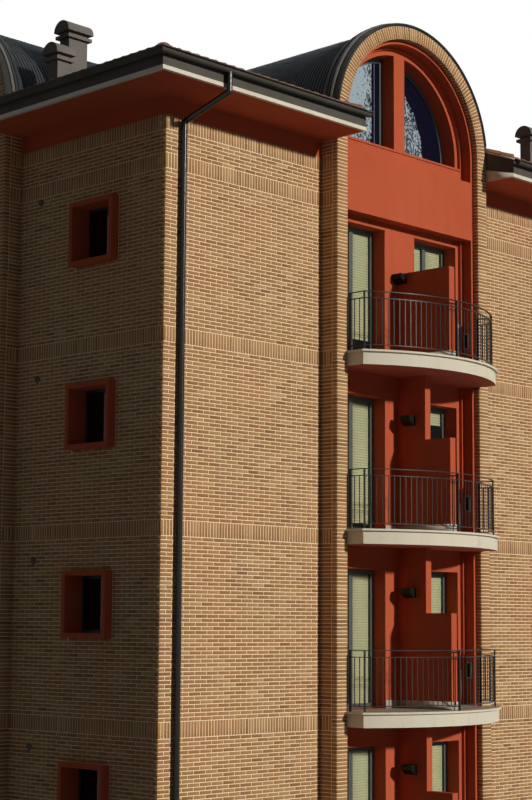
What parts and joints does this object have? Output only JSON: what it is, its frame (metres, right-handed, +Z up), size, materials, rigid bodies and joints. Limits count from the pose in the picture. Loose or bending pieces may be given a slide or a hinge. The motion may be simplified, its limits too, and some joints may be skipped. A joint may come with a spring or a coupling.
{
  "type": "corner apartment block",
  "caption": "Corner apartment block in face brick, with round-arched balcony bays, barrel roofs and a hipped tile roof.",
  "frame": {"origin": "ground level below the middle of the block", "axes": "+Z up, the sunlit front of the picture faces -Y, its shaded side with the small windows faces -X"},
  "size_m": [14.7596, 14.7596, 16.3309],
  "materials": {
    "brick": "matt fired face brick",
    "red_plaster": "painted mineral plaster",
    "white_edge": "painted concrete",
    "concrete": "plain concrete",
    "dark_metal": "satin paint",
    "trim_board": "painted board",
    "frame_grey": "satin coated",
    "glass": "clear",
    "roof_tile": "matt clay tile",
    "barrel_metal": "folded sheet metal"
  },
  "bodies": {
    "building": {"wing_walls": "brick", "window_wing_walls": "brick", "window_walls": "brick", "bay_walls": "red_plaster", "door_lintels": "red_plaster", "front_arch": "brick", "rear_arch": "brick", "left_arch": "brick", "right_arch": "brick", "arch_linings": "red_plaster", "arch_panels": "red_plaster", "arch_surrounds": "red_plaster", "arch_sills": "red_plaster", "arch_caps": "dark_metal", "arch_window_frames": "frame_grey", "arch_window_glass": "glass", "front_balconies": "white_edge", "rear_balconies": "white_edge", "left_balconies": "white_edge", "right_balconies": "white_edge", "front_railings": "dark_metal", "rear_railings": "dark_metal", "left_railings": "dark_metal", "right_railings": "dark_metal", "divider_walls": "red_plaster", "wall_lamps": "dark_metal", "door_frames": "frame_grey", "door_glass": "glass", "garden_door_frame": "frame_grey", "garden_door_hinges": "frame_grey", "window_surrounds": "red_plaster", "window_frames": "frame_grey", "window_glass": "glass", "ground_floor": "concrete", "upper_floors": "concrete", "attic_floor": "concrete", "eaves": "red_plaster", "eaves_trim": "trim_board", "gutters": "dark_metal", "main_roof": "roof_tile", "barrel_roofs": "barrel_metal", "chimneys": "dark_metal", "chimney_caps": "dark_metal", "downpipes": "dark_metal"},
    "garden_door_left": {"garden_door_left": "frame_grey", "garden_door_left_glass": "glass"},
    "garden_door_right": {"garden_door_right": "frame_grey", "garden_door_right_glass": "glass"}
  },
  "joints": [
    {"name": "garden_door_left_hinge", "type": "hinge", "parent": "building", "child": "garden_door_left", "pos_m": [-1.634, -5.584, 1.35], "axis": [0, 0, 1], "range_deg": [0, 90]},
    {"name": "garden_door_right_hinge", "type": "hinge", "parent": "building", "child": "garden_door_right", "pos_m": [-0.476, -5.584, 1.35], "axis": [0, 0, -1], "range_deg": [0, 90]}
  ]
}
